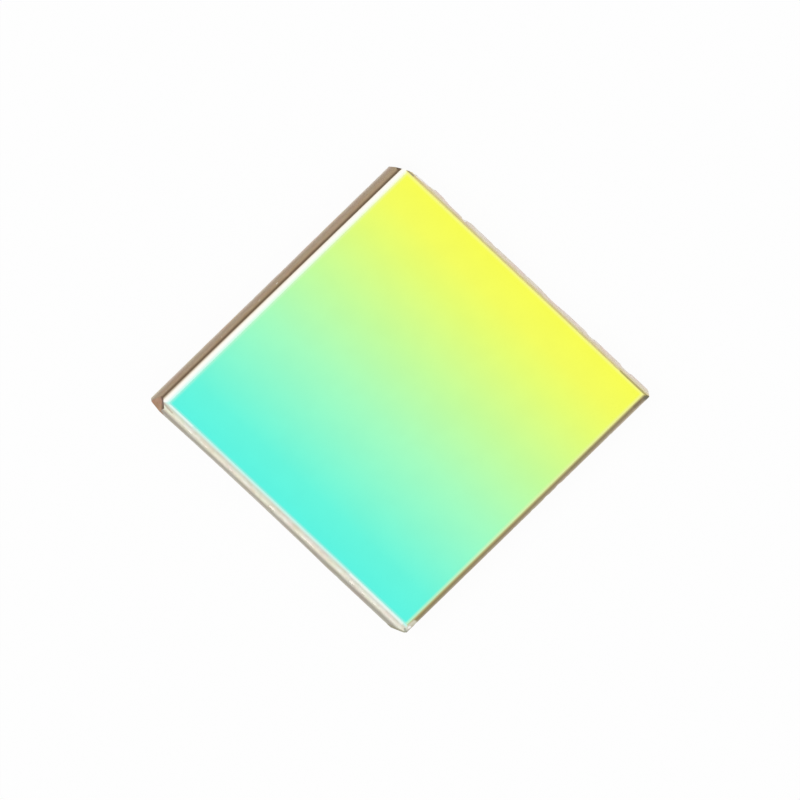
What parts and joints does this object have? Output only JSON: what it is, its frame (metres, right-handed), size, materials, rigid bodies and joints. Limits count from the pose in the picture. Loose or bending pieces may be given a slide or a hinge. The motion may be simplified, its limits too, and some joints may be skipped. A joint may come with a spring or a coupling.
{
  "type": "dichroic mirror",
  "caption": "Square flat glass mirror plate with a dichroic coating that shades from cyan to yellow, an uncoated rim, ground bevelled edges and chipped corners.",
  "frame": {"origin": "middle of the bare back face, on which the plate lies", "axes": "+Z out of the coated face; +Y across the plate, from the cyan side of the coating to the yellow side; X along the bands of equal colour"},
  "size_m": [0.025, 0.025, 0.002],
  "materials": {
    "coated_glass": "vacuum-grown dichroic layers on polished optical glass, cyan to yellow, with fine-ground side walls and bevels"
  },
  "bodies": {
    "root": {"mirror_plate": "coated_glass"}
  },
  "joints": []
}
